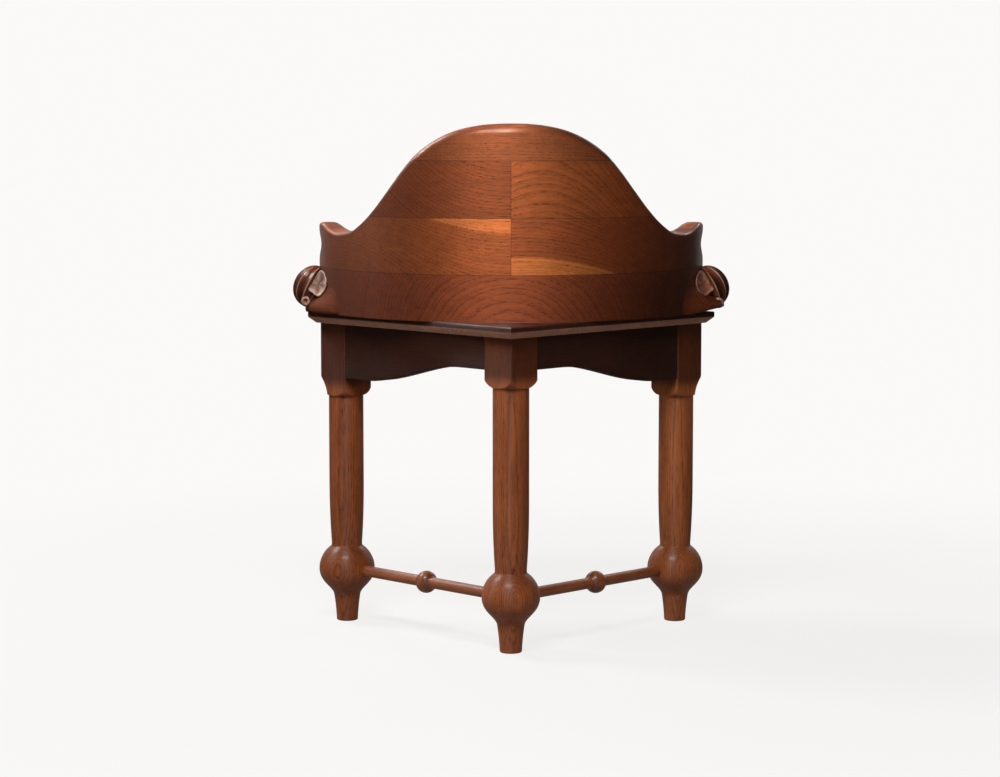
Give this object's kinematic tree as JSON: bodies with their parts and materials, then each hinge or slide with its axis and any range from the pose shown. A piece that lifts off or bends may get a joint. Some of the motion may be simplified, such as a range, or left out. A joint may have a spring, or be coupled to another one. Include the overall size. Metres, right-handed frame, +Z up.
{
  "type": "wooden stool with backrest",
  "caption": "Three-legged wooden stool with a wrap-round laminated back, scrolled arm ends, turned legs with ball feet and knobbed stretchers.",
  "frame": {"origin": "on the floor, below the middle of the stool's length and width", "axes": "+Z up; the back is towards +Y, the sitter faces -Y and the sitter's left is +X"},
  "size_m": [0.5852, 0.4046, 0.671],
  "materials": {
    "crest_wood": "satin varnish",
    "upper_back_wood": "satin varnish",
    "lower_back_wood": "satin varnish",
    "base_wood": "satin varnish",
    "seat_wood": "satin varnish",
    "leg_wood": "satin varnish",
    "rail_wood": "satin varnish",
    "inner_wood": "bare",
    "screw_steel": "bright"
  },
  "bodies": {
    "root": {"back_leg": "leg_wood", "base_rail": "base_wood", "brace_back": "inner_wood", "brace_front_left": "inner_wood", "brace_front_right": "inner_wood", "crest": "crest_wood", "crest_dowel_left_1": "inner_wood", "crest_dowel_right_1": "inner_wood", "front_leg_left": "leg_wood", "front_leg_right": "leg_wood", "front_rail": "rail_wood", "lower_back_left": "lower_back_wood", "lower_back_right": "lower_back_wood", "lower_butt_dowel_1": "inner_wood", "lower_butt_dowel_2": "inner_wood", "lower_dowel_left_1": "inner_wood", "lower_dowel_left_2": "inner_wood", "lower_dowel_right_1": "inner_wood", "lower_dowel_right_2": "inner_wood", "scroll_dowel_left": "inner_wood", "scroll_dowel_right": "inner_wood", "scroll_left": "base_wood", "scroll_right": "base_wood", "seat_board_1": "seat_wood", "seat_board_2": "seat_wood", "seat_board_3": "seat_wood", "seat_board_4": "seat_wood", "seat_dowel_left_1": "inner_wood", "seat_dowel_left_2": "inner_wood", "seat_dowel_right_1": "inner_wood", "seat_dowel_right_2": "inner_wood", "seat_screw_back": "screw_steel", "seat_screw_front_left": "screw_steel", "seat_screw_front_right": "screw_steel", "seat_tongue_1": "inner_wood", "seat_tongue_2": "inner_wood", "seat_tongue_3": "inner_wood", "side_rail_left": "rail_wood", "side_rail_right": "rail_wood", "stretcher_left": "leg_wood", "stretcher_right": "leg_wood", "upper_back_left": "upper_back_wood", "upper_back_right": "upper_back_wood", "upper_butt_dowel_1": "inner_wood", "upper_butt_dowel_2": "inner_wood", "upper_dowel_left_1": "inner_wood", "upper_dowel_left_2": "inner_wood", "upper_dowel_right_1": "inner_wood", "upper_dowel_right_2": "inner_wood"}
  },
  "joints": []
}
